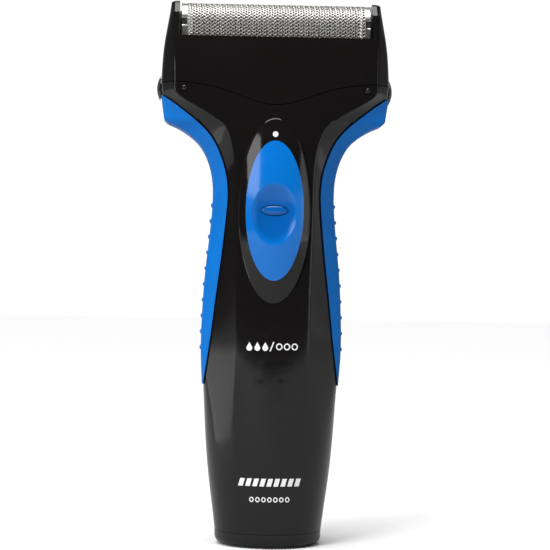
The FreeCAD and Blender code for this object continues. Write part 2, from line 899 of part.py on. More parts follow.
def margin_slots():
    """The openings in the plain ends of the foil: a window at the top, a notch front and rear."""
    centre = Vector(0, 0, size("foil_centre"))
    half = size("foil_half_length")
    low = half - size("foil_margin") + 0.1
    slots = []
    for side in (-1, 1):
        for tilt, high, height in ((-78.0, half, 1.9), (0.0, half - 0.2, 1.6), (78.0, half, 1.9)):
            start = low if side > 0 else -high
            slot = Part.makeBox(high - low, height, 3.0, Vector(start, -height / 2, centre.z + 5.0))
            slot.rotate(centre, Vector(1, 0, 0), tilt)
            slots.append(slot)
    return slots


def build_foil():
    """The thin arched foil, its shaving holes left to its surface."""
    half = size("foil_half_length")
    radius = size("foil_radius")
    shape = arch(radius, radius - size("foil_thickness"), size("foil_bottom"), -half, 2 * half)
    feature("foil", shape.cut(margin_slots()))


def build_foil_holder():
    """The carrier that keeps the foil arched: end arches, end plates and two long rails."""
    half = size("foil_half_length")
    radius = size("foil_radius - foil_thickness") - 0.08
    margin = size("foil_margin")
    plate = size("holder_plate")
    plate_half = size("holder_plate_half")
    depth = size("holder_half_depth")
    foot_height = size("holder_foot")
    rise = size("holder_rail_height")
    flat_top = size("holder_plate_top") - foot_height
    pieces = []
    for side in (-1, 1):
        start = half - margin if side > 0 else -half
        pieces.append(arch(radius, radius - 0.9, size("foil_bottom") + 0.4, start, margin))
        end = half if side > 0 else -half - plate
        axis_point = Vector(end, 0, size("foil_centre") - 0.2)
        disc = Part.makeCylinder(plate_half, plate, axis_point, Vector(1, 0, 0))
        block = Part.makeBox(plate, 2 * plate_half, flat_top, Vector(end, -plate_half, foot_height))
        web = Part.makeBox(plate, 2 * plate_half, 6.9, Vector(end, -plate_half, foot_height))
        foot = Part.makeBox(plate, 2 * depth, rise, Vector(end, -depth, foot_height))
        pieces.append(disc.common(block).fuse([web, foot]))
    low = size("foil_radius") + 0.08
    for start in (-depth, low):
        corner = Vector(-half - plate, start, foot_height)
        pieces.append(Part.makeBox(2 * (half + plate), depth - low, rise, corner))
    holder = pieces[0].fuse(pieces[1:])
    feature("foil_holder", holder.removeSplitter())


# ---------------------------------------------------------------- cutter and oscillator


def build_cutter():
    """The row of thin arched blades and the carrier that they ride on."""
    count = int(size("blade_count"))
    pitch = size("blade_pitch")
    thickness = size("blade_thickness")
    first = -pitch * (count - 1) / 2 - thickness / 2
    blade = arch(size("blade_radius"), size("blade_core_radius"), 145.6, first, thickness)
    blades = [blade.translated(Vector(pitch * i, 0, 0)) for i in range(count)]
    feature("cutter_blades", Part.makeCompound(blades))

    half = pitch * count / 2
    core = size("blade_core_radius") - 0.05
    beam = size("beam_bottom")
    centre = size("foil_centre")
    saddle_half = 4.8
    saddle_rise = 4.0
    wall = 1.2
    body = Part.makeBox(
        2 * half, 2 * core, centre - beam - saddle_rise, Vector(-half, -core, beam + saddle_rise)
    )
    ridge = Part.makeCylinder(core, 2 * half, Vector(-half, 0, centre), Vector(1, 0, 0))
    saddle = Part.makeBox(2 * half, 2 * saddle_half, saddle_rise + 0.05, Vector(-half, -saddle_half, beam))
    socket = Part.makeCylinder(size("post_radius") + 0.08, 3.2, Vector(0, 0, beam))
    corner = Vector(1.5 - half, wall - core, beam + saddle_rise + 0.6)
    hollow = Part.makeBox(2 * half - 3.0, 2 * (core - wall), 5.4, corner)
    carrier = body.fuse([ridge, saddle]).cut(socket).cut(hollow)
    feature("cutter_carrier", carrier.removeSplitter())


def build_oscillator():
    """The bridge that turns the crank pin's circle into a stroke, and its drive post."""
    plate = slab("bridge_plate", "bridge_length", "bridge_width", "2", "bridge_bottom")
    top = slab("bridge_top", "bridge_length", "bridge_width", "1.6", "bridge_bottom + bridge_height - 1.6")
    shoes = []
    for i, (x, y) in enumerate([(x, y) for x in (-11.5, 11.5) for y in (-4.0, 4.0)]):
        name = f"bridge_shoe_{i}"
        shoes.append(slab(name, "5", "2.8", "bridge_height", "bridge_bottom", str(x), str(y)))
    fork = slab(
        "fork_slot",
        "2 * (crank_pin_radius + 2 * eccentricity + 0.2)",
        "2 * (crank_pin_radius + eccentricity + 0.3)",
        "4",
        "bridge_bottom - 1",
    )
    bores = [
        rod(f"rail_bore_{i}", "rail_radius + 0.05", "40", "-20", f"{side}rail_offset", "rail_height", "X")
        for i, side in enumerate(SIDES)
    ]
    cut("oscillator_bridge", fused("bridge_blank", plate, top, *shoes), fork, *bores)

    base = "bridge_bottom + bridge_height"
    length = f"post_top - ({base})"
    collar = "12.2"
    turned(
        "drive_post",
        [
            ("0", "0"),
            ("3", "0"),
            ("3", "1"),
            ("post_radius", "1"),
            ("post_radius", collar),
            ("2.6", collar),
            ("2.6", f"{collar} + 0.8"),
            ("post_radius", f"{collar} + 0.8"),
            ("post_radius", length),
            ("0", length),
        ],
        z=base,
    )
    coil("cutter_spring", "2.0", "0.4", 5, "6.8", "0", "0", "134.65")

    rails = [
        rod(f"rail_{i}", "rail_radius", "2 * lug_face", "-lug_face", f"{side}rail_offset", "rail_height", "X")
        for i, side in enumerate(SIDES)
    ]
    grouped("guide_rails", *rails)


def build_cam():
    """The eccentric on the motor shaft, its crank pin off to one side."""
    corners = [
        ("shaft_radius", "0"),
        ("cam_radius", "0"),
        ("cam_radius", "cam_height"),
        ("shaft_radius", "cam_height"),
    ]
    disc = turned("cam_disc", corners, z="cam_bottom")
    root = "cam_bottom + cam_height - 0.4"
    pin = rod("crank_pin", "crank_pin_radius", "crank_pin_height + 0.4", "0", "eccentricity", root)
    fused("eccentric_cam", disc, pin)


# ---------------------------------------------------------------- motor


def flatted(name, round_piece):
    """A round motor piece with the two flats of the can."""
    flats = slab(name + "_flats", "3 * motor_radius", "2 * motor_flat", "40", "70")
    return shared(name, round_piece, flats)


def build_motor():
    """A flat-sided can motor with bearings, magnets, wound rotor and brushes."""
    radius = "motor_radius"
    height = "motor_top - motor_bottom"
    boss = "motor_boss_top - motor_bottom"
    shell = turned(
        "can_blank",
        [
            ("bush_radius", f"{height} - motor_wall"),
            (f"{radius} - motor_wall", f"{height} - motor_wall"),
            (f"{radius} - motor_wall", "0"),
            (radius, "0"),
            (radius, height),
            ("motor_boss_radius", height),
            ("motor_boss_radius", boss),
            ("bush_radius", boss),
        ],
        z="motor_bottom",
    )
    flat_can = flatted("can_flat", shell)
    inset = "(motor_flat - motor_wall / 2)"
    sheets = [
        slab(f"can_side_{i}", "16", "motor_wall", height, "motor_bottom", "0", side + inset)
        for i, side in enumerate(SIDES)
    ]
    screw_holes = [
        rod(f"can_hole_{i}", "1", "8", side + "motor_screw_reach", "0", "100") for i, side in enumerate(SIDES)
    ]
    cut("motor_can", fused("can_closed", flat_can, *sheets), *screw_holes)

    cap_top = "motor_bottom - end_cap_bottom"
    cap = turned(
        "end_cap_blank",
        [
            ("bush_radius", "0"),
            (radius, "0"),
            (radius, cap_top),
            ("bush_radius", cap_top),
        ],
        z="end_cap_bottom",
    )
    flatted("motor_end_cap", cap)

    bore = "shaft_radius + 0.02"
    rise = "2.4"
    bush = [(bore, "0"), ("bush_radius", "0"), ("bush_radius", rise), (bore, rise)]
    lower = turned("lower_bush", bush, z="end_cap_bottom")
    upper = turned("upper_bush", bush, z=f"motor_boss_top - {rise}")
    grouped("motor_bearings", lower, upper)

    length = "shaft_top - shaft_bottom"
    shaft = [("0", "0"), ("shaft_radius", "0"), ("shaft_radius", length), ("0", length)]
    turned("motor_shaft", shaft, z="shaft_bottom")

    magnet_bottom = "79"
    magnet_height = "19"
    outside = f"{radius} - motor_wall - 0.05"
    corners = [
        ("magnet_radius", "0"),
        (outside, "0"),
        (outside, magnet_height),
        ("magnet_radius", magnet_height),
    ]
    ring = turned("magnet_ring", corners, z=magnet_bottom)
    shared("motor_magnets", ring, slab("magnet_arc", "40", "13", magnet_height, magnet_bottom))

    brushes = [slab(f"brush_{i}", "0.8", "2", "2", "76.8", side + "3.05") for i, side in enumerate(SIDES)]
    grouped("motor_brushes", *brushes)
    tab_end = "70.9"
    tabs = [
        slab(f"terminal_{i}", "2.4", "0.5", f"end_cap_bottom - {tab_end}", tab_end, side + "6")
        for i, side in enumerate(SIDES)
    ]
    grouped("motor_terminals", *tabs)
    drum = "2.6"
    drum_height = "2.8"
    corners = [("shaft_radius", "0"), (drum, "0"), (drum, drum_height), ("shaft_radius", drum_height)]
    turned("commutator", corners, z="76.7")
    build_rotor()
    build_motor_screws()


def build_rotor():
    """Three wound poles round the shaft."""
    corners = [
        ("shaft_radius", "0"),
        ("rotor_radius", "0"),
        ("rotor_radius", "rotor_height"),
        ("shaft_radius", "rotor_height"),
    ]
    core = turned("core_blank", corners, z="rotor_bottom")
    doc.recompute()
    low = size("rotor_bottom")
    height = size("rotor_height")
    slack = 0.1
    slot_width = 6.4
    slot_length = 4.2
    mouth = 1.4
    overhang = 1.0
    slots = []
    coils = []
    for i in range(3):
        slot = Part.makeBox(slot_length, slot_width, height, Vector(3.3, -slot_width / 2, low))
        slot = slot.fuse(Part.makeBox(6.0, mouth, height, Vector(4.0, -mouth / 2, low)))
        corner = Vector(3.3 + slack, 1.5 * slack - slot_width / 2, low - overhang)
        winding = Part.makeBox(slot_length - 3 * slack, slot_width - 3 * slack, height + 2 * overhang, corner)
        for item in (slot, winding):
            item.rotate(Vector(), Vector(0, 0, 1), 120.0 * i)
        slots.append(slot)
        coils.append(winding)
    feature("rotor_core", core.Shape.cut(slots))
    feature("rotor_coils", Part.makeCompound(coils))


def screw_profile(length):
    """The profile of a flat-headed screw, its tip at the start."""
    top = f"{length} + screw_head_height"
    return [
        ("0", "0"),
        ("screw_radius", "0"),
        ("screw_radius", length),
        ("screw_head_radius", length),
        ("screw_head_radius", top),
        ("0", top),
    ]


def build_motor_screws():
    """Two small screws that hold the motor up against the top deck."""
    length = "4"
    screw = turned("motor_screw", screw_profile(length), z=f"top_deck_bottom + top_deck_thickness - {length}")
    reach = size("motor_screw_reach")
    copies("motor_screws", screw, [(-reach, 0, 0), (reach, 0, 0)])


# ---------------------------------------------------------------- chassis and contacts


def build_chassis():
    """The inner frame: battery deck, two cheeks beside the motor, top deck, contact board."""
    deck = slab("battery_deck", "28.4", "15", "deck_thickness", "deck_bottom")
    top = slab("top_deck", "27.6", "13", "top_deck_thickness", "top_deck_bottom")
    rise = "top_deck_bottom - deck_bottom + 1"
    cheeks = [
        slab(f"cheek_{i}", "1.2", "9.2", rise, "deck_bottom", side + "13.2") for i, side in enumerate(SIDES)
    ]
    tongue = slab("board_tongue", "13", "3.8", "top_deck_thickness", "top_deck_bottom", "0", "-8.1")
    board_rise = "top_deck_bottom + top_deck_thickness - board_bottom"
    board = slab("contact_board", "13", "0.6", board_rise, "board_bottom", "0", "0.3 - board_face")
    rib_foot = "16.2"
    rib_rise = f"deck_bottom - {rib_foot} + 0.2"
    ribs = [
        slab(f"cell_rib_{i}", "2", "3.6", rib_rise, rib_foot, "0", side + "7.6")
        for i, side in enumerate(SIDES)
    ]
    pad_foot = "66.5"
    pad = slab("contact_pad", "6", "6", f"deck_bottom - {pad_foot} + 0.2", pad_foot, "-cell_offset")
    blank = fused("chassis_blank", deck, top, *cheeks, tongue, board, *ribs, pad)
    boss_hole = rod("motor_boss_hole", "motor_boss_radius + 0.1", "10", "0", "0", "100")
    screw_holes = [
        rod(f"deck_hole_{i}", "1", "12", side + "motor_screw_reach", "0", "98")
        for i, side in enumerate(SIDES)
    ]
    cut("chassis", blank, boss_hole, *screw_holes)


def cell(side, upright):
    """One round cell with its raised contact at the top or at the bottom."""
    bottom = size("cell_bottom")
    top = size("cell_top")
    nub = size("nub_height")
    root = 0.5
    x = side * size("cell_offset")
    low = bottom if upright else bottom + nub
    body = Part.makeCylinder(size("cell_radius"), top - bottom - nub, Vector(x, 0, low))
    round_edges = [edge for edge in body.Edges if edge.isClosed()]
    body = body.makeFillet(0.4, round_edges)
    knob_start = Vector(x, 0, top - nub - root if upright else bottom)
    return body.fuse(Part.makeCylinder(size("nub_radius"), nub + root, knob_start))


def build_power():
    """The two cells and the metal strips that lead their current to switch and motor."""
    feature("battery_cells", Part.makeCompound([cell(-1, True), cell(1, False)]))
    slab("top_contact_plate", "9.1", "7", "0.45", "cell_top + 0.05", "-5.95")
    coil("top_contact_spring", "3.2", "0.55", 2.5, "2.35", "cell_offset", "0", "cell_top + 0.03")

    front = "-board_face - blade_strip / 2"
    left = "-contact_offset"
    right = "contact_offset"
    width = "strip_width"
    sheet_metal = "strip_thickness"
    low = "cell_top + 0.5"
    riser = slab("supply_riser", width, "blade_strip", f"contact_bottom - ({low})", low, left, front)
    foot = slab("supply_foot", width, "6.35", sheet_metal, low, left, "-7.175")
    fused("supply_strip", riser, foot)

    level = "lead_height"
    lead = slab("motor_riser", width, "blade_strip", f"contact_bottom - {level}", level, right, front)
    reach = slab("motor_reach", width, "10", sheet_metal, level, right, "-5.35")
    hook = slab("motor_hook", "6", "0.6", sheet_metal, level, "4.2", "-0.55")
    fused("motor_strip", lead, reach, hook)

    seat_height = "68.42"
    rear = "8.8"
    seat = slab("return_seat", "7.3", "12", "0.35", seat_height, "cell_offset", "3")
    climb_rise = f"{level} + {sheet_metal} - {seat_height}"
    climb = slab("return_climb", "2", sheet_metal, climb_rise, seat_height, "4.5", rear)
    span = slab("return_span", "12.7", sheet_metal, sheet_metal, level, "-0.85", rear)
    end = slab("return_end", "2.4", "8.75", sheet_metal, level, "-6", "4.625")
    fused("return_strip", seat, climb, span, end)

    strips = [
        slab(f"contact_{i}", width, "blade_strip", "14", "contact_bottom", x, front)
        for i, x in enumerate((left, right))
    ]
    grouped("switch_contacts", *strips)


# ---------------------------------------------------------------- head base and screws


def bevelled_block(half_length, half_depth, corner, low, rise):
    """A block whose four upright edges are cut off at 45 degrees."""
    block = Part.makeBox(2 * half_length, 2 * half_depth, rise, Vector(-half_length, -half_depth, low))
    upright = [edge for edge in block.Edges if edge.BoundBox.ZLength > rise / 2]
    return block.makeChamfer(corner, upright)


def across(radius, y, height):
    """A long cylinder from side to side, for cutting bores that run across the head."""
    return Part.makeCylinder(radius, DEEP, Vector(-DEEP / 2, y, height), Vector(1, 0, 0))


def build_head_base():
    """The floor of the head with its collar, rail lugs and the opening for the drive post."""
    low = size("platform_bottom")
    high = size("platform_top")
    inner = offset_form(-size("wall + part_gap"))
    floor = Part.makeBox(80, 40, high - low, Vector(-40, -20, low)).common(inner)
    length = size("collar_half_length")
    depth = size("collar_half_depth")
    wall = size("collar_wall")
    rise = size("collar_top") - low
    corner = 2.8
    outside = bevelled_block(length, depth, corner, low, rise)
    collar = outside.cut(bevelled_block(length - wall, depth - wall, corner - wall / 2, low, rise))
    lug = size("lug_thickness")
    lug_foot = size("lug_bottom")
    lug_half = 5.2
    lug_rise = low + 0.5 - lug_foot
    starts = (-size("lug_face"), size("lug_face") - lug)
    lugs = [Part.makeBox(lug, 2 * lug_half, lug_rise, Vector(x, -lug_half, lug_foot)) for x in starts]
    blank = floor.fuse([collar, *lugs])
    under = low - 4.0
    window = Part.makeBox(6.4, 3.8, 10, Vector(-3.2, -1.9, under))
    holes = [Part.makeCylinder(1.05, 10, Vector(x, y, under)) for x, y in screw_places()]
    rails = [across(size("rail_radius"), side * size("rail_offset"), size("rail_height")) for side in (-1, 1)]
    shafts = [across(size("button_shaft_radius") + 0.1, 0, size("button_height"))]
    base = blank.cut([window, *holes, *rails, *shafts])
    feature("head_base", base.removeSplitter())


def build_head_seal():
    """The soft oval ring round the drive post."""
    high = size("platform_top")
    half_length = 7.0
    half_width = 4.5
    ring = Part.makeBox(2 * half_length, 2 * half_width, 0.8, Vector(-half_length, -half_width, high))
    upright = [edge for edge in ring.Edges if edge.BoundBox.ZLength > 0.7]
    ring = ring.makeFillet(3.0, upright)
    hole = Part.makeBox(6.0, 3.5, 2, Vector(-3.0, -1.75, high - 0.5))
    feature("head_seal", ring.cut(hole))


def build_head_screws():
    """Four screws that hold the head base down on the case bosses."""
    length = "7.5"
    screw = turned("head_screw", screw_profile(length), z=f"platform_top - {length}")
    copies("head_screws", screw, [(x, y, 0) for x, y in screw_places()])


def build_release(side, label):
    """A release button with its stem, latch tooth and return spring."""
    height = size("button_height")
    radius = size("button_radius")
    rim = size("button_rim")
    outward = Vector(side, 0, 0)

    def bar(bar_radius, start, end):
        return Part.makeCylinder(bar_radius, end - start, Vector(side * start, 0, height), outward)

    def lump(length, rise, start, low):
        corner = Vector(start if side > 0 else -start - length, -1.2, height + low)
        return Part.makeBox(length, 2.4, rise, corner)

    reach = size("button_reach")
    rise = reach - rim
    ball = (radius * radius + rise * rise) / (2 * rise)
    dome = Part.makeSphere(ball, Vector(side * (reach - ball), 0, height)).common(bar(radius, rim, rim + 6.0))
    inner_face = size("button_inner_face")
    body = bar(size("button_stem_radius"), inner_face, rim + 0.3)
    shaft = bar(size("button_shaft_radius"), size("button_shaft_end"), inner_face + 0.2)
    latch = size("latch_face")
    tooth = lump(0.8, 2.0, latch, 2.0)
    foot = lump(0.9, 2.6, latch, 0.2)
    feature(f"{label}_release_button", dome.fuse([body, shaft, tooth, foot]).removeSplitter())
    near = "(collar_half_length + 0.03)"
    far = "release_spring_end"
    start = near if side > 0 else "-" + far
    length = f"{far} - {near}"
    name = f"{label}_release_spring"
    coil(name, "release_coil_radius", "release_wire", 2.5, length, start, "0", "button_height", "X")


# ---------------------------------------------------------------- switch


def ellipsoid(half_x, half_y, half_z, x, y, z):
    """A stretched sphere about a point."""
    stretch = FreeCAD.Matrix()
    stretch.scale(half_x, half_y, half_z)
    ball = Part.makeSphere(1.0).transformGeometry(stretch)
    ball.translate(Vector(x, y, z))
    return ball


def build_switch():
    """The slide switch: knob with thumb dish, carriage inside and its contact wiper."""
    middle = size("switch_height")
    top = SWITCH_FRONT + size("knob_proud")
    oval = front_oval(size("knob_half_width"), size("knob_half_length"), middle, 10.0)
    bezel = bezel_face()
    travel = size("switch_travel")
    gap = size("part_gap")

    def underside(height):
        return max(bezel(height), bezel(height + travel)) + gap

    face = barrel(size("knob_proud"), size("knob_end_proud"), size("knob_half_length"))
    plate = shaped_form(face).common(oval).cut(shaped_form(underside))
    inside = shaped_form(lambda height: underside(height) + 0.3)
    boss = front_oval(size("boss_half_width"), size("boss_half_length"), middle, BOSS_SEAT + 1.1)
    knob = plate.fuse(boss.common(inside))

    dip = size("dish_dip")
    reach = math.sqrt(1 - ((BOWL_DEPTH - dip) / BOWL_DEPTH) ** 2)
    half_width = size("dish_half_width") / reach
    half_length = size("dish_half_length") / reach
    knob = knob.cut(ellipsoid(half_width, BOWL_DEPTH, half_length, 0, dip - top - BOWL_DEPTH, middle))
    lens_half = size("lens_half_length")
    lens_rise = size("lens_half_height")
    spread = size("lens_gap")
    knob = knob.cut(front_oval(lens_half + spread, lens_rise + spread, middle, 14.2))
    feature("switch_knob", knob)

    shine = top - dip + size("lens_crown")
    swell = 1.28
    bulge = 1.2
    dome = ellipsoid(swell * lens_half, bulge, swell * lens_rise, 0, bulge - shine, middle)
    tip = dome.common(front_oval(lens_half, lens_rise, middle, shine - 0.6))
    stem = front_oval(lens_half, lens_rise, middle, 15.3, shine - 0.5)
    feature("lock_button", tip.fuse(stem).removeSplitter())
    coil("lock_spring", "0.8", "0.25", 2, "1.05", "0", "-15.28", "switch_height", "Y")

    slab("switch_carriage", "12", "0.95", "14", "89", "0", "-11.6")
    blade = slab("wiper_blade", "6.8", "0.25", "4", "93", "0", "-11")
    bump_length = "1.6"
    starts = (f"-contact_offset - {bump_length} / 2", f"contact_offset - {bump_length} / 2")
    bumps = [
        rod(f"wiper_bump_{i}", "0.3", bump_length, x, "-10.74", "95", "X") for i, x in enumerate(starts)
    ]
    fused("switch_wiper", blade, *bumps)


# ---------------------------------------------------------------- battery cap


def build_cap():
    """The pull-off base: a rounded foot, a sealed spigot and the lower cell contacts."""
    shoulder = "cap_height - 0.1"
    cap = turned(
        "battery_cap",
        [
            ("0", "0"),
            ("base_radius", "0"),
            ("base_radius", shoulder),
            ("spigot_radius", shoulder),
            ("spigot_radius", "groove_bottom"),
            ("groove_radius", "groove_bottom"),
            ("groove_radius", "groove_bottom + groove_height"),
            ("spigot_radius", "groove_bottom + groove_height"),
            ("spigot_radius", "spigot_top"),
            ("spigot_bore", "spigot_top"),
            ("spigot_bore", "cap_floor"),
            ("0", "cap_floor"),
        ],
    )

    def foot_edge(edge):
        box = edge.BoundBox
        return box.ZMax < 0.01 and box.XMax > size("foot_radius")

    rounded(cap, "foot_rounding", foot_edge)

    seal = doc.addObject("Part::Torus", "cap_seal")
    seal.setExpression("Radius1", bind("mouth_radius - seal_wire - 0.03"))
    seal.setExpression("Radius2", bind("seal_wire"))
    placed(seal, "0", "0", "groove_bottom + groove_height / 2")

    plug = "spigot_bore - 0.1"
    plug_depth = "1.4"
    flange = "13.6"
    corners = [
        ("0", "0"),
        (plug, "0"),
        (plug, plug_depth),
        (flange, plug_depth),
        (flange, f"{plug_depth} + carrier_height"),
        ("0", f"{plug_depth} + carrier_height"),
    ]
    turned("cap_contact_carrier", corners, z=f"spigot_top - {plug_depth}")
    top = "spigot_top + carrier_height"
    strip = slab("bridge_strip", "22", "7", "contact_thickness", top)
    stud = rod("bridge_stud", "2.2", f"cell_bottom - ({top}) - 0.05", "cell_offset", "0", top)
    fused("cap_contact_bridge", strip, stud)
    spring_base = f"{top} + contact_thickness"
    length = f"cell_bottom - ({spring_base}) - 0.05"
    start = f"{spring_base} + 0.02"
    coil("cap_contact_spring", "3.4", "0.6", 4, length, "-cell_offset", "0", start)


# ---------------------------------------------------------------- everything together

NODES = [
    "front_case",
    "rear_case",
    "left_grip",
    "right_grip",
    "switch_bezel",
    "switch_seal",
    "fixing_pins",
    "chassis",
    "battery_cells",
    "top_contact_plate",
    "top_contact_spring",
    "supply_strip",
    "motor_strip",
    "return_strip",
    "switch_contacts",
    "motor_can",
    "motor_end_cap",
    "motor_bearings",
    "motor_magnets",
    "motor_brushes",
    "motor_terminals",
    "motor_screws",
    "motor_shaft",
    "rotor_core",
    "rotor_coils",
    "commutator",
    "eccentric_cam",
    "guide_rails",
    "oscillator_bridge",
    "drive_post",
    "cutter_spring",
    "cutter_blades",
    "cutter_carrier",
    "head_base",
    "head_seal",
    "head_screws",
    "foil_frame",
    "foil",
    "foil_holder",
    "left_release_button",
    "left_release_spring",
    "right_release_button",
    "right_release_spring",
    "switch_knob",
    "switch_carriage",
    "switch_wiper",
    "lock_button",
    "lock_spring",
    "battery_cap",
    "cap_seal",
    "cap_contact_carrier",
    "cap_contact_bridge",
    "cap_contact_spring",
]

build_case()
build_fixing_pins()
build_foil_frame()
build_foil()
build_foil_holder()
build_cutter()
build_oscillator()
build_cam()
build_motor()
build_chassis()
build_power()
build_head_base()
build_head_seal()
build_head_screws()
build_release(-1, "left")
build_release(1, "right")
build_switch()
build_cap()
doc.recompute()

for item in doc.Objects:
    if "Invalid" in item.State or "Error" in item.State:
        raise RuntimeError(f"{item.Name} did not build: {item.State}")

os.makedirs("parts", exist_ok=True)
for name in NODES:
    shape = doc.getObject(name).Shape
    if shape.isNull() or not shape.isValid():
        raise RuntimeError(f"{name} has no valid shape")
    print(f"{name:24s} {len(shape.Solids):3d} solids {shape.Volume:10.1f} mm3")
    shape.exportStep(f"parts/{name}.step")
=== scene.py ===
import json
import math

import bmesh
import bpy
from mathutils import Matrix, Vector
from mathutils.bvhtree import BVHTree


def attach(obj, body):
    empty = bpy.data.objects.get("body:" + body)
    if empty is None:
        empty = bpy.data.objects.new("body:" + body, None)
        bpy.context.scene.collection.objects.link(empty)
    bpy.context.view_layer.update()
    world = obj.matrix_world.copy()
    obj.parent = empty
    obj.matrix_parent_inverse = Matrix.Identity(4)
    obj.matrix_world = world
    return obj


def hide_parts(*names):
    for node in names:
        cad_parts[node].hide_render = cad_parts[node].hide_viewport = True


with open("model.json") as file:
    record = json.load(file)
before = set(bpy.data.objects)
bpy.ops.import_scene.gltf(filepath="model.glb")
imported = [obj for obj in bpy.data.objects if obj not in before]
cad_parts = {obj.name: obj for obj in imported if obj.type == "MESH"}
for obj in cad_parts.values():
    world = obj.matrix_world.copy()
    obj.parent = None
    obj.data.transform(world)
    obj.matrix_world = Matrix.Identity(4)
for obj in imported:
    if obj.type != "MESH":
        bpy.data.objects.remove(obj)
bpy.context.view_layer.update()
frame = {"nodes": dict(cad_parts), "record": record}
nodes = frame["nodes"]
scene = bpy.context.scene

MM = 0.001


def add_object(name, data):
    """A new object in the scene that shows this mesh, light or camera."""
    made = bpy.data.objects.new(name, data)
    scene.collection.objects.link(made)
    return made


def add_mesh(name, bm, look):
    """A new object from a finished bmesh, in one look."""
    mesh = bpy.data.meshes.new(name)
    bm.to_mesh(mesh)
    bm.free()
    mesh.materials.append(look.material)
    return add_object(name, mesh)


def thicken(made, name, thickness_mm):
    """Give a sheet its thickness, away from the side its faces point to."""
    modifier = made.modifiers.new(name, "SOLIDIFY")
    modifier.thickness = thickness_mm * MM
    modifier.offset = -1.0


def bridge(bm, outer, inner):
    """Faces between two closed outlines that have as many corners as each other."""
    for k in range(len(outer)):
        n = (k + 1) % len(outer)
        bm.faces.new((outer[k], outer[n], inner[n], inner[k]))


# ---------------------------------------------------------------- materials

# Ovals of the switch: the height of the middle, half the width and half the height, in mm.
# A swell slopes up from the rim, 1, to its start, 0 being the middle, and is so many mm high.
SWITCH_HEIGHT = 96.6
KNOB_OVAL = (SWITCH_HEIGHT, 8.25, 19.95)
# The dish's oval also marks where its painted shade lies.
SHADED_DISH_OVAL = (95.9, 6.45, 8.8)
BEZEL_OVAL = (SWITCH_HEIGHT, 10.35, 26.6)
KNOB_START, KNOB_SWELL = 0, 1.35
BEZEL_START, BEZEL_SWELL = 0.5, 1.15
BLACK_TONES = ((0.0042, 0.0036, 0.0034), (0.0056, 0.0049, 0.0047))
METAL_GRAIN = 0.35


class Surface:
    """A procedural material: a Principled shader and the noises that feed it."""

    def __init__(self, name, roughness=0.4, metallic=0.0, ior=1.5, **settings):
        self.material = bpy.data.materials.new(name)
        self.material.use_nodes = True
        self.tree = self.material.node_tree
        self.shader = self.tree.nodes["Principled BSDF"]
        self.shader.inputs["Roughness"].default_value = roughness
        self.shader.inputs["Metallic"].default_value = metallic
        self.shader.inputs["IOR"].default_value = ior
        for socket, value in settings.items():
            self.shader.inputs[socket.replace("_", " ")].default_value = value
        self.place = self.node("ShaderNodeTexCoord").outputs["Object"]
        self.bumped = None

    def node(self, kind, **inputs):
        """A new node with its inputs fed, each named with _ for a space."""
        made = self.tree.nodes.new(kind)
        for key, value in inputs.items():
            self.feed(made.inputs[key.replace("_", " ")], value)
        return made

    def feed(self, socket, value):
        """Link or set one input, whichever the value asks for."""
        if isinstance(value, bpy.types.NodeSocket):
            self.tree.links.new(value, socket)
        else:
            socket.default_value = value

    def stretched(self, factors):
        """The object's coordinates, scaled apart along X, Y and Z."""
        return self.node("ShaderNodeMapping", Vector=self.place, Scale=factors).outputs["Vector"]

    def noise(self, grain_mm, detail=3.0, place=None):
        """Noise whose features are about grain_mm across."""
        made = self.node("ShaderNodeTexNoise", Vector=place or self.place, Detail=detail)
        made.inputs["Scale"].default_value = 1 / (grain_mm * MM)
        return made.outputs["Fac"]

    def cells(self, grain_mm):
        """Rounded grains about grain_mm apart."""
        made = self.node("ShaderNodeTexVoronoi", Vector=self.place, Scale=1 / (grain_mm * MM))
        return made.outputs["Distance"]

    def oval(self, middle_mm, half_width_mm, half_height_mm):
        """The square of the distance from the middle of an upright oval, 1 on its rim."""
        scale = (1 / (half_width_mm * MM), 0, 1 / (half_height_mm * MM))
        shift = (0, 0, -middle_mm / half_height_mm)
        made = self.node("ShaderNodeMapping", Vector=self.place, Scale=scale, Location=shift)
        square = self.node("ShaderNodeVectorMath")
        square.operation = "DOT_PRODUCT"
        for socket in square.inputs[:2]:
            self.feed(socket, made.outputs["Vector"])
        return square.outputs["Value"]

    def spread(self, factor, low, high, start=0.3, end=0.7):
        """The factor's range from start to end, mapped to low and high."""
        ends = {"From_Min": start, "From_Max": end, "To_Min": low, "To_Max": high}
        return self.node("ShaderNodeMapRange", Value=factor, **ends).outputs["Result"]

    def tint(self, factor, dark, light, start=0.3, end=0.7):
        """Base colour from dark to light as the factor rises."""
        ramp = self.node("ShaderNodeValToRGB", Fac=factor)
        ramp.color_ramp.elements[0].position = start
        ramp.color_ramp.elements[0].color = (*dark, 1)
        ramp.color_ramp.elements[1].position = end
        ramp.color_ramp.elements[1].color = (*light, 1)
        self.feed(self.shader.inputs["Base Color"], ramp.outputs["Color"])
        return self

    def gloss(self, factor, low, high):
        """Roughness from low to high as the factor rises."""
        self.feed(self.shader.inputs["Roughness"], self.spread(factor, low, high))
        return self

    def bump(self, height, depth_mm, strength=1.0):
        """Relief of about depth_mm on top of what is already there."""
        made = self.node("ShaderNodeBump", Height=height, Distance=depth_mm * MM, Strength=strength)
        if self.bumped:
            self.feed(made.inputs["Normal"], self.bumped)
        self.bumped = made.outputs["Normal"]
        self.feed(self.shader.inputs["Normal"], self.bumped)
        return self


def gloss_plastic(name, dark, light, rough):
    """Polished moulded plastic: faint orange peel and handling marks."""
    s = Surface(name, ior=1.45)
    s.tint(s.noise(18), dark, light)
    s.gloss(s.noise(2.2, detail=5), *rough)
    return s.bump(s.noise(7, detail=1), 0.001)


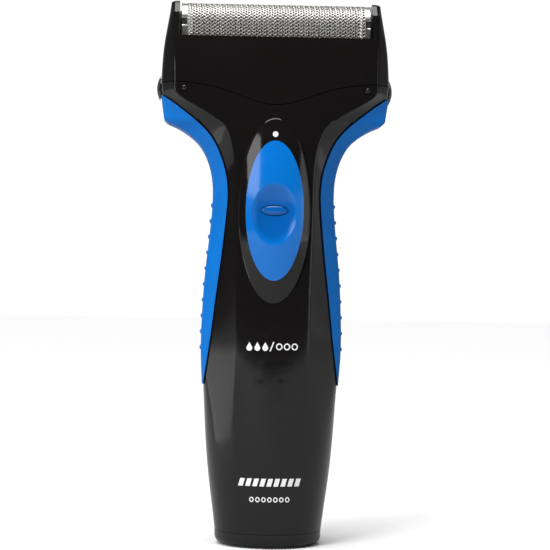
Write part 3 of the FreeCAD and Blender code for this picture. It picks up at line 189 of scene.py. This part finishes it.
def domed_plastic(name, dark, light, rough, oval, start, depth_mm, dish=None):
    """Polished plastic that slopes up from an oval's rim to start, round a dish darkened with
    painted shade.
    """
    s = gloss_plastic(name, dark, light, rough)
    outside = 1.0
    if dish:
        from_shaded_dish = s.oval(*dish)
        outside = s.spread(from_shaded_dish, 0, 1, 0.94, 1.0)
        # Painted shade: the base colour is the dark tone inside the dish and rises to the light
        # tone at its rim and outside it.
        s.tint(s.spread(from_shaded_dish, 0, 1, 0.6, 1.0), dark, light, 0, 1)
    return s.bump(s.spread(s.oval(*oval), 1, 0, start, 1), depth_mm, outside)


def soft_rubber(name, dark, light, rough=(0.42, 0.55)):
    """Satin elastomer: an even, very fine moulded grain."""
    s = Surface(name, ior=1.38, Specular_IOR_Level=0.22, Sheen_Weight=0.07, Sheen_Roughness=0.2)
    s.tint(s.noise(9), dark, light)
    s.gloss(s.noise(1.1), *rough)
    return s.bump(s.cells(0.22), 0.012).bump(s.noise(0.12), 0.006)


def matte_plastic(name, dark, light, rough=(0.45, 0.6)):
    """Spark-eroded moulding texture."""
    s = Surface(name, ior=1.5)
    s.tint(s.noise(6), dark, light)
    s.gloss(s.noise(0.8), *rough)
    return s.bump(s.noise(0.25, detail=4), 0.02)


def metal(name, dark, light, rough, along=(1, 1, 1)):
    """Metal with a grain drawn out along one axis, and duller patches."""
    s = Surface(name, metallic=1.0)
    drawn = s.stretched(along)
    s.tint(s.noise(3), dark, light)
    s.gloss(s.noise(METAL_GRAIN, detail=4, place=drawn), *rough)
    return s.bump(s.noise(METAL_GRAIN * 0.6, detail=4, place=drawn), 0.002)


def wound_wire(name):
    """Enamelled winding: fine turns beside each other."""
    s = Surface(name, metallic=1.0, Coat_Weight=0.5, Coat_Roughness=0.15)
    turns = s.node("ShaderNodeTexWave", Vector=s.place, Scale=1 / (1.6 * MM), Distortion=0.6)
    turns.wave_type = "BANDS"
    turns.bands_direction = "X"
    s.tint(turns.outputs["Fac"], (0.42, 0.14, 0.05), (0.75, 0.32, 0.14), 0.1, 0.9)
    s.gloss(s.noise(0.5), 0.22, 0.36)
    return s.bump(turns.outputs["Fac"], 0.05)


def cell_sleeve(name):
    """Glossy shrink sleeve of a battery cell."""
    s = Surface(name, ior=1.5, Coat_Weight=0.4, Coat_Roughness=0.1)
    s.tint(s.noise(7), (0.012, 0.1, 0.055), (0.02, 0.14, 0.08))
    s.gloss(s.noise(1.5), 0.2, 0.3)
    return s.bump(s.noise(2.5, detail=2), 0.01)


# Each material slot's maker, its dark and light tones, its roughness and what else it takes.
RECIPES = {
    "black_gloss": (gloss_plastic, *BLACK_TONES, (0.09, 0.13)),
    "grip_blue": (soft_rubber, (0.0014, 0.136, 0.49), (0.0022, 0.152, 0.53)),
    "knob_blue": (
        domed_plastic,
        # The knob's dark tone is painted shade, for its dish and the lock button in it.
        (0.0005, 0.09, 0.36),
        (0.0008, 0.137, 0.5),
        (0.1, 0.17),
        KNOB_OVAL,
        KNOB_START,
        KNOB_SWELL,
        SHADED_DISH_OVAL,
    ),
    "foil_steel": (metal, (0.52, 0.505, 0.475), (0.62, 0.605, 0.575), (0.24, 0.34), (1, 5, 5)),
    # The blades' steel is toned down as painted shade, since they sit in the dark inside the head.
    "blade_steel": (metal, (0.18, 0.18, 0.18), (0.27, 0.27, 0.27), (0.25, 0.35), (6, 1, 1)),
    "black_matte": (matte_plastic, (0.008, 0.008, 0.008), (0.013, 0.013, 0.013)),
    "natural_plastic": (matte_plastic, (0.68, 0.65, 0.58), (0.76, 0.73, 0.66)),
    "nickel": (metal, (0.58, 0.56, 0.52), (0.7, 0.68, 0.64), (0.16, 0.28), (1, 1, 8)),
    "motor_steel": (metal, (0.45, 0.46, 0.47), (0.6, 0.6, 0.6), (0.25, 0.42), (4, 4, 1)),
    "spring_steel": (metal, (0.42, 0.42, 0.42), (0.55, 0.55, 0.55), (0.15, 0.28)),
    "brass": (metal, (0.62, 0.44, 0.16), (0.75, 0.55, 0.24), (0.2, 0.34), (1, 1, 6)),
    "copper": (wound_wire,),
    "magnet": (matte_plastic, (0.035, 0.035, 0.038), (0.06, 0.06, 0.062), (0.5, 0.65)),
    "seal_rubber": (soft_rubber, (0.012, 0.012, 0.012), (0.02, 0.02, 0.02), (0.5, 0.62)),
    "seal_silicone": (soft_rubber, (0.24, 0.25, 0.26), (0.3, 0.31, 0.32), (0.45, 0.55)),
    "cell_sleeve": (cell_sleeve,),
}
LOOKS = {slot: make(slot + "_look", *rest) for slot, (make, *rest) in RECIPES.items()}
BEZEL_LOOK = domed_plastic(
    "bezel_look", *BLACK_TONES, (0.05, 0.11), BEZEL_OVAL, BEZEL_START, BEZEL_SWELL
)

for part in frame["record"]["subparts"]:
    mesh = nodes[part["node"]].data
    mesh.materials.clear()
    look = BEZEL_LOOK if part["node"] == "switch_bezel" else LOOKS[part["material_slot"]]
    mesh.materials.append(look.material)


# ---------------------------------------------------------------- the perforated foil

# In mm. The plain ends' window and notches are counted in half rows from the first slot.
FOIL_RADIUS = 6.2
FOIL_CENTRE = 151.0
FOIL_BOTTOM = 143.6
FOIL_HALF = 27.4
FOIL_SHEET = 0.1
COLUMNS = 68
ROWS = 27
ROW_PITCH = 1.0
COLUMN_PITCH = 0.757
SLOT_LENGTH = 0.86
SLOT_WIDTH = 0.45
SLOT_TILT = math.radians(50)
# The plain end's columns are, from the outside, a rim, the one that is cut, and one by the slots.
MARGIN_LINES = (25.85, 27.2, FOIL_HALF)
CUT_COLUMN = 1
LEG = FOIL_CENTRE - FOIL_BOTTOM
FOOT_ROWS = 3
FIELD_START = LEG + math.pi * FOIL_RADIUS / 2 - ROWS * ROW_PITCH / 2
TOP_WINDOW = (23, 27)
SIDE_NOTCHES = ((6, 10), (40, 44))
CELL_ROUND = ((0, 0), (1, 0), (2, 0), (2, 1), (2, 2), (1, 2), (0, 2), (0, 1))


def on_arch(x, travel):
    """The point at x across the foil and travel along its arch from the front leg's foot."""
    over = travel - LEG
    if over < 0:
        return Vector((x, -FOIL_RADIUS, FOIL_BOTTOM + travel)) * MM
    turn = over / FOIL_RADIUS
    if turn > math.pi:
        return Vector((x, FOIL_RADIUS, FOIL_CENTRE - (over - math.pi * FOIL_RADIUS))) * MM
    depth, rise = -FOIL_RADIUS * math.cos(turn), FOIL_RADIUS * math.sin(turn)
    return Vector((x, depth, FOIL_CENTRE + rise)) * MM


def slot_corners(column, half_row):
    """The eight corners of the slot in a cell that starts at a half row, in CELL_ROUND's order."""
    x = (column + 0.5 - COLUMNS / 2) * COLUMN_PITCH
    travel = FIELD_START + (half_row + 1) * ROW_PITCH / 2
    lean = SLOT_TILT if column % 2 else math.pi - SLOT_TILT
    along = Vector((math.cos(lean), math.sin(lean)))
    across = Vector((-along.y, along.x))
    straight = (SLOT_LENGTH - SLOT_WIDTH) / 2
    points = []
    for angle in range(-135, 225, 45):
        way = Vector((math.cos(math.radians(angle)), math.sin(math.radians(angle))))
        lengthways = way.dot(along)
        if abs(lengthways) < 0.5:
            points.append(across * math.copysign(SLOT_WIDTH / 2, way.dot(across)))
        else:
            points.append(along * math.copysign(straight, lengthways) + way * SLOT_WIDTH / 2)
    return [on_arch(x + p.x, travel + p.y) for p in points]


def build_foil():
    """The foil as a thin sheet, its slots leaning left and right in turn, half a row apart."""
    lines_x = [-x for x in reversed(MARGIN_LINES)]
    lines_x += [(i - COLUMNS) * COLUMN_PITCH / 2 for i in range(2 * COLUMNS + 1)]
    lines_x += MARGIN_LINES
    foot = [FIELD_START * i / FOOT_ROWS for i in range(FOOT_ROWS)]
    field = [FIELD_START + i * ROW_PITCH / 2 for i in range(2 * ROWS + 1)]
    total = 2 * LEG + math.pi * FOIL_RADIUS
    lines_s = foot + field + [total - value for value in reversed(foot)]
    bm = bmesh.new()
    grid = {}

    def at(i, j):
        """The sheet's corner on line i across and line j along, made once."""
        if (i, j) not in grid:
            grid[i, j] = bm.verts.new(on_arch(lines_x[i], lines_s[j]))
        return grid[i, j]

    def plain(i, j):
        """One solid patch of the sheet."""
        bm.faces.new((at(i, j), at(i + 1, j), at(i + 1, j + 1), at(i, j + 1)))

    edge, low = len(MARGIN_LINES), len(foot)
    last_x, last_s = len(lines_x) - 1, len(lines_s) - 1
    for i in range(last_x):
        from_end = min(i, last_x - 1 - i)
        for j in range(last_s):
            half_row = j - low
            in_margin = from_end < edge
            in_window = from_end == CUT_COLUMN and TOP_WINDOW[0] <= half_row < TOP_WINDOW[1]
            level_with_notch = any(start <= half_row < end for start, end in SIDE_NOTCHES)
            in_notch = from_end <= CUT_COLUMN and level_with_notch
            in_field = 0 <= half_row < 2 * ROWS
            if (in_margin and not (in_window or in_notch)) or not (in_margin or in_field):
                plain(i, j)
    for column in range(COLUMNS):
        i = edge + 2 * column
        first = column % 2
        if first:
            for j in (low, low + 2 * ROWS - 1):
                plain(i, j)
                plain(i + 1, j)
        for half_row in range(first, 2 * ROWS - first, 2):
            j = low + half_row
            outer = [at(i + u, j + v) for u, v in CELL_ROUND]
            inner = [bm.verts.new(point) for point in slot_corners(column, half_row)]
            bridge(bm, outer, inner)
    for face in bm.faces:
        face.smooth = True
    made = add_mesh("shaving_foil", bm, LOOKS["foil_steel"])
    thicken(made, "sheet", FOIL_SHEET)
    return made


foil = build_foil()
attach(foil, "foil_head")
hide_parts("foil")


# ---------------------------------------------------------------- printed marks

# In mm: the ink's lift off the surface, the film's thickness and the longest edge on a curve.
INK_DEPTH = 0.025
INK_FILM = INK_DEPTH * 0.8
INK_GRAIN = 0.45
HALVINGS = 4
RAY_START_Y = -50 * MM
# The marks' heights above the base, in mm.
OFF_HEIGHT = 118.45
CARE_HEIGHT = 57.9
STRIPE_HEIGHT = 19.2
DOT_HEIGHT = 14.3


def printing_ink(name):
    """White pad-printing ink, a little uneven."""
    s = Surface(name, roughness=0.5)
    s.tint(s.noise(0.5), (0.72, 0.72, 0.71), (0.86, 0.86, 0.85))
    return s.bump(s.noise(0.2), 0.004)


def ring(width, height, stroke, steps=40):
    """Outer and inner outline of an upright oval ring."""
    turns = [2 * math.pi * i / steps for i in range(steps)]
    sizes = [(width / 2, height / 2), (width / 2 - stroke, height / 2 - stroke)]
    return [[(a * math.cos(t), b * math.sin(t)) for t in turns] for a, b in sizes]


def drop(width, height, steps=32):
    """Outline of a water drop with its tip up."""
    radius = width / 2
    low = -height / 2 + radius
    points = []
    for i in range(steps):
        turn = math.radians(145 + 250 * i / (steps - 1))
        points.append((radius * math.cos(turn), low + radius * math.sin(turn)))
    return points + [(0.0, height / 2)]


def leaning_bar(width, height, lean):
    """Outline of an upright bar whose top leans to the right."""
    side, top = width / 2, height / 2
    return [(-side - lean, -top), (side - lean, -top), (side + lean, top), (-side + lean, top)]


def printed(name, node, shapes):
    """Thin ink shapes, each an (x, z, outline, hole or None) in mm, on the front of a CAD node."""
    bm = bmesh.new()
    for x, z, outline, hole in shapes:
        outer = [bm.verts.new((x + u, 0, z + v)) for u, v in outline]
        if hole:
            bridge(bm, outer, [bm.verts.new((x + u, 0, z + v)) for u, v in hole])
        else:
            bm.faces.new(outer)
    bmesh.ops.triangulate(bm, faces=bm.faces)
    for _ in range(HALVINGS):
        long_edges = [edge for edge in bm.edges if edge.calc_length() > INK_GRAIN]
        bmesh.ops.subdivide_edges(bm, edges=long_edges, cuts=1)
        bmesh.ops.triangulate(bm, faces=bm.faces)
    source = nodes[node].data
    corners = [v.co.copy() for v in source.vertices]
    tree = BVHTree.FromPolygons(corners, [tuple(p.vertices) for p in source.polygons])
    for vert in bm.verts:
        start = Vector((vert.co.x * MM, RAY_START_Y, vert.co.z * MM))
        hit = tree.ray_cast(start, Vector((0, 1, 0)))[0]
        vert.co = hit + Vector((0, -INK_DEPTH * MM, 0))
    made = add_mesh(name, bm, ink)
    thicken(made, "film", INK_FILM)
    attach(made, "housing")


ink = printing_ink("print_white_look")
off_dot = ring(1.6, 1.6, 0.3)[0]
printed("off_mark", "switch_bezel", [(0, OFF_HEIGHT, off_dot, None)])

ring_outer, ring_inner = ring(1.85, 1.95, 0.34)
care_marks = [(-6.5 + 2.25 * i, CARE_HEIGHT, drop(1.65, 2.5), None) for i in range(3)]
care_marks += [(-0.1, CARE_HEIGHT, leaning_bar(0.36, 2.65, 0.5), None)]
care_marks += [(2.0 + 2.2 * i, CARE_HEIGHT, ring_outer, ring_inner) for i in range(3)]
printed("care_marks", "front_case", care_marks)

stripes = [(-8.1 + 2.0 * i, STRIPE_HEIGHT, leaning_bar(1.3, 2.2, 0.3), None) for i in range(9)]
printed("stripe_marks", "front_case", stripes)
dot_outer, dot_inner = ring(1.3, 1.5, 0.3, 24)
dots = [(-5.2 + 1.7 * i, DOT_HEIGHT, dot_outer, dot_inner) for i in range(7)]
printed("dot_marks", "front_case", dots)


# ---------------------------------------------------------------- floor, light and camera

# In metres and watts. Reflections see the table fade, the camera sees it in full.
FLOOR_REACH = 3.0
FLOOR_FRONT = -1.14
FLOOR_FADE = (FLOOR_FRONT, -0.85)
FLOOR_SEEN_BY_SHAVER = 0.47
ROOM_DEPTH = (0.3, 1.0)
ROOM_STRENGTH = (0.07, 0.6)
WHITE_STRENGTH = 1.05
SUN_POWER = 3.3
SUN_SPREAD = math.radians(50)
SUN_LEAN = (math.radians(8), math.radians(-6), 0)
KEY_PLACE = (-0.62, -0.86, 0.53)
SHAVER_MIDDLE = (0, 0, 0.09)
SENSOR_MM = 36
LENS_MM = 132.3
CLIP = (0.01, 20)
CAMERA_DISTANCE = 0.591
CAMERA_HEIGHT = 0.0783
CAMERA_SIDE = 0.001
TURN = math.radians(-2.0)
ROLL = math.radians(-0.95)


def build_floor():
    """A pale table whose reflected light fades out a little way in front of the camera."""
    bm = bmesh.new()
    reach = FLOOR_REACH
    corners = [(-reach, FLOOR_FRONT), (reach, FLOOR_FRONT), (reach, reach), (-reach, reach)]
    bm.faces.new([bm.verts.new((x, y, 0)) for x, y in corners])
    look = Surface("floor_look", roughness=0.9)
    depth = look.node("ShaderNodeSeparateXYZ", Vector=look.place).outputs["Y"]
    bright = look.node("ShaderNodeMath")
    bright.operation = "MAXIMUM"
    look.feed(bright.inputs[0], look.node("ShaderNodeLightPath").outputs["Is Camera Ray"])
    look.feed(bright.inputs[1], look.spread(depth, 0, FLOOR_SEEN_BY_SHAVER, *FLOOR_FADE))
    look.tint(bright.outputs["Value"], (0.03, 0.03, 0.03), (0.87, 0.87, 0.87), 0, 1)
    add_mesh("floor", bm, look)


def softbox(name, place, target, size, power):
    """A white rectangle of light at place that faces target, unseen by the camera itself."""
    data = bpy.data.lights.new(name, "AREA")
    data.shape = "RECTANGLE"
    data.size, data.size_y = size
    data.energy = power
    lamp = add_object(name, data)
    lamp.location = place
    lamp.rotation_euler = (Vector(target) - Vector(place)).to_track_quat("-Z", "Y").to_euler()
    lamp.visible_camera = False
    return lamp


def build_lights():
    """A wide overhead light, softboxes left and right, and a low card on each side."""
    data = bpy.data.lights.new("overhead", "SUN")
    data.energy = SUN_POWER
    data.angle = SUN_SPREAD
    add_object("overhead", data).rotation_euler = SUN_LEAN
    softbox("key", KEY_PLACE, SHAVER_MIDDLE, size=(0.42, 0.45), power=2.6)
    wash = softbox("key_wash", KEY_PLACE, SHAVER_MIDDLE, size=(0.5, 0.7), power=9.5)
    wash.visible_glossy = False
    softbox("left_card", (-0.19, -0.025, 0.026), (0, -0.02, 0.026), size=(0.15, 0.044), power=0.022)
    softbox("fill", (0.9, -0.5, 0.35), (0, 0, 0.08), size=(0.5, 0.7), power=1.5)
    softbox("low_fill", (0.75, -0.8, 0.14), (0, 0, 0.1), size=(0.5, 0.4), power=0.3)
    softbox("right_card", (0.4, 0.075, 0.09), (0.01, 0, 0.09), size=(0.2, 0.08), power=0.02)


def build_world():
    """Pale behind the shaver and dim in front of it, plain white to the eye."""
    world = bpy.data.worlds.new("studio")
    scene.world = world
    world.use_nodes = True
    tree = world.node_tree
    tree.nodes.clear()
    new = tree.nodes.new
    where = new("ShaderNodeTexCoord")
    parts = new("ShaderNodeSeparateXYZ")
    depth = new("ShaderNodeMapRange")
    depth.interpolation_type = "SMOOTHSTEP"
    ends = ("From Min", "From Max", "To Min", "To Max")
    for key, value in zip(ends, ROOM_DEPTH + ROOM_STRENGTH):
        depth.inputs[key].default_value = value
    room = new("ShaderNodeBackground")
    white = new("ShaderNodeBackground")
    white.inputs["Color"].default_value = (1, 1, 1, 1)
    white.inputs["Strength"].default_value = WHITE_STRENGTH
    seen = new("ShaderNodeLightPath")
    mix = new("ShaderNodeMixShader")
    out = new("ShaderNodeOutputWorld")
    tree.links.new(where.outputs["Generated"], parts.inputs["Vector"])
    tree.links.new(parts.outputs["Y"], depth.inputs["Value"])
    tree.links.new(depth.outputs["Result"], room.inputs["Strength"])
    tree.links.new(seen.outputs["Is Camera Ray"], mix.inputs["Fac"])
    tree.links.new(room.outputs["Background"], mix.inputs[1])
    tree.links.new(white.outputs["Background"], mix.inputs[2])
    tree.links.new(mix.outputs["Shader"], out.inputs["Surface"])


def build_camera():
    """Level with the middle of the shaver, with a slight turn and roll."""
    data = bpy.data.cameras.new("camera")
    data.sensor_width = SENSOR_MM
    data.lens = LENS_MM
    data.clip_start, data.clip_end = CLIP
    camera = add_object("camera", data)
    ahead = Vector((-math.sin(TURN), math.cos(TURN), 0))
    right = Vector((math.cos(TURN), math.sin(TURN), 0))
    camera.location = CAMERA_SIDE * right - CAMERA_DISTANCE * ahead + Vector((0, 0, CAMERA_HEIGHT))
    camera.rotation_euler = (math.radians(90), ROLL, TURN)
    scene.camera = camera


build_floor()
build_lights()
build_world()
build_camera()
scene.view_settings.view_transform = "Standard"
